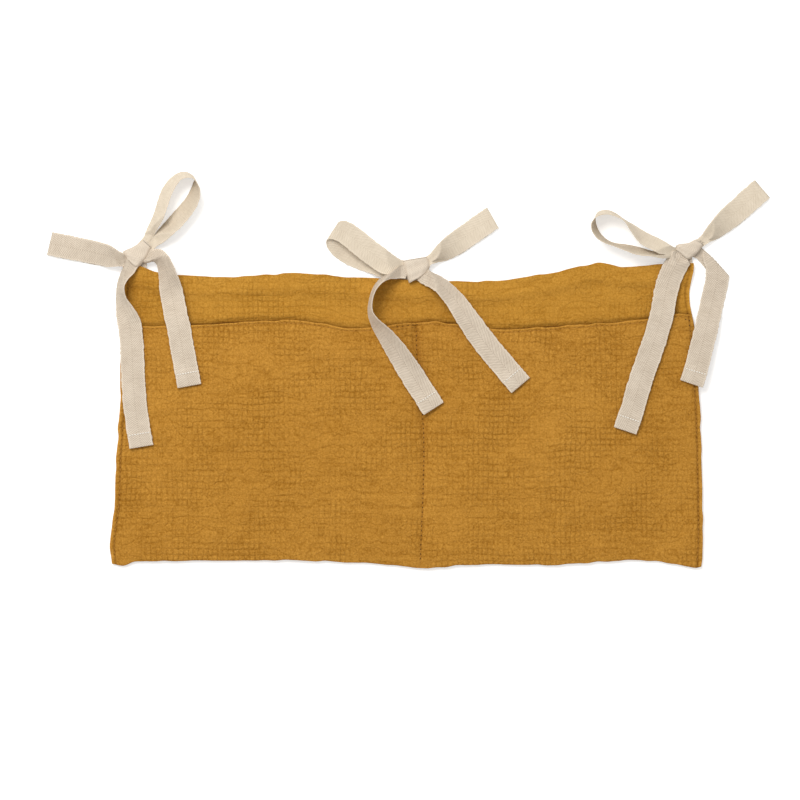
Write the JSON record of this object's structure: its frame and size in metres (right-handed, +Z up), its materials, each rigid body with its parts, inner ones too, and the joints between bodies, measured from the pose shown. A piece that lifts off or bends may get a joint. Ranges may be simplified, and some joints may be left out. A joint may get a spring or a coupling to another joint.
{
  "type": "crib organizer",
  "caption": "Soft hanging organizer: a wide, low quilt-like panel of crinkled gauze with side-by-side open-topped pockets and tape bows along its top edge for tying to a rail.",
  "frame": {"origin": "middle of the underside of the back lining, on the table plane", "axes": "+X to the panel's right, +Y towards its top edge with the bows, +Z up through the pockets"},
  "size_m": [0.6072, 0.3342, 0.0302],
  "materials": {
    "mustard_gauze": "matte crinkled double gauze",
    "mustard_gauze_back": "matte crinkled double gauze",
    "mustard_gauze_pocket": "matte crinkled double gauze",
    "cream_tape": "matte herringbone twill",
    "mustard_thread": "soft sheen",
    "cream_thread": "soft sheen"
  },
  "bodies": {
    "organizer": {"back_lining": "mustard_gauze_back", "front_facing": "mustard_gauze", "pocket_cloth": "mustard_gauze_pocket", "centre_seam_thread": "mustard_thread", "left_side_thread": "mustard_thread", "right_side_thread": "mustard_thread", "left_corner_tack": "mustard_thread", "right_corner_tack": "mustard_thread", "mouth_stitch_thread": "mustard_thread", "centre_mouth_tack": "mustard_thread", "left_tie_legs": "cream_tape", "left_bow_knot": "cream_tape", "centre_tie_legs": "cream_tape", "centre_bow_knot": "cream_tape", "right_tie_legs": "cream_tape", "right_bow_knot": "cream_tape"},
    "left_bow_open_loop_part": {"left_bow_open_loop": "cream_tape"},
    "left_bow_flat_loop_part": {"left_bow_flat_loop": "cream_tape"},
    "left_bow_tail_a_part": {"left_bow_tail_a": "cream_tape", "left_tail_a_hem_thread": "cream_thread"},
    "left_bow_tail_b_part": {"left_bow_tail_b": "cream_tape", "left_tail_b_hem_thread": "cream_thread"},
    "centre_bow_open_loop_part": {"centre_bow_open_loop": "cream_tape"},
    "centre_bow_flat_loop_part": {"centre_bow_flat_loop": "cream_tape"},
    "centre_bow_tail_a_part": {"centre_bow_tail_a": "cream_tape", "centre_tail_a_hem_thread": "cream_thread"},
    "centre_bow_tail_b_part": {"centre_bow_tail_b": "cream_tape", "centre_tail_b_hem_thread": "cream_thread"},
    "right_bow_open_loop_part": {"right_bow_open_loop": "cream_tape"},
    "right_bow_flat_loop_part": {"right_bow_flat_loop": "cream_tape"},
    "right_bow_tail_a_part": {"right_bow_tail_a": "cream_tape", "right_tail_a_hem_thread": "cream_thread"},
    "right_bow_tail_b_part": {"right_bow_tail_b": "cream_tape", "right_tail_b_hem_thread": "cream_thread"}
  },
  "joints": [
    {"name": "left_bow_open_loop_bend", "type": "hinge", "parent": "organizer", "child": "left_bow_open_loop_part", "pos_m": [-0.2138, 0.1532, 0.01793], "axis": [0.829, -0.5592, 0], "range_deg": [0, 75]},
    {"name": "left_bow_flat_loop_bend", "type": "hinge", "parent": "organizer", "child": "left_bow_flat_loop_part", "pos_m": [-0.2412, 0.1335, 0.02067], "axis": [0.225, 0.9744, 0], "range_deg": [0, 75]},
    {"name": "left_bow_tail_a_bend", "type": "hinge", "parent": "organizer", "child": "left_bow_tail_a_part", "pos_m": [-0.237, 0.1235, 0.0208], "axis": [-0.9952, -0.0976, 0], "range_deg": [0, 80]},
    {"name": "left_bow_tail_b_bend", "type": "hinge", "parent": "organizer", "child": "left_bow_tail_b_part", "pos_m": [-0.2016, 0.123, 0.01919], "axis": [-0.981, -0.1942, 0], "range_deg": [0, 80]},
    {"name": "centre_bow_open_loop_bend", "type": "hinge", "parent": "organizer", "child": "centre_bow_open_loop_part", "pos_m": [-0.019, 0.1279, 0.01472], "axis": [0.5388, 0.8425, 0], "range_deg": [0, 75]},
    {"name": "centre_bow_flat_loop_bend", "type": "hinge", "parent": "organizer", "child": "centre_bow_flat_loop_part", "pos_m": [0.024, 0.1345, 0.01908], "axis": [0.5592, -0.829, 0], "range_deg": [0, 75]},
    {"name": "centre_bow_tail_a_bend", "type": "hinge", "parent": "organizer", "child": "centre_bow_tail_a_part", "pos_m": [-0.029, 0.1005, 0.02463], "axis": [-0.8526, -0.5225, 0], "range_deg": [0, 80]},
    {"name": "centre_bow_tail_b_bend", "type": "hinge", "parent": "organizer", "child": "centre_bow_tail_b_part", "pos_m": [0.0295, 0.111, 0.02093], "axis": [-0.7837, -0.6212, 0], "range_deg": [0, 80]},
    {"name": "right_bow_open_loop_bend", "type": "hinge", "parent": "organizer", "child": "right_bow_open_loop_part", "pos_m": [0.215, 0.1402, 0.02232], "axis": [0.36, 0.933, 0], "range_deg": [0, 75]},
    {"name": "right_bow_flat_loop_bend", "type": "hinge", "parent": "organizer", "child": "right_bow_flat_loop_part", "pos_m": [0.2525, 0.1502, 0.01985], "axis": [0.6534, -0.757, 0], "range_deg": [0, 75]},
    {"name": "right_bow_tail_a_bend", "type": "hinge", "parent": "organizer", "child": "right_bow_tail_a_part", "pos_m": [0.2249, 0.1225, 0.00714], "axis": [-0.9563, 0.2924, 0], "range_deg": [0, 80]},
    {"name": "right_bow_tail_b_bend", "type": "hinge", "parent": "organizer", "child": "right_bow_tail_b_part", "pos_m": [0.2621, 0.1205, 0.01256], "axis": [-0.9703, 0.2419, 0], "range_deg": [0, 80]}
  ]
}
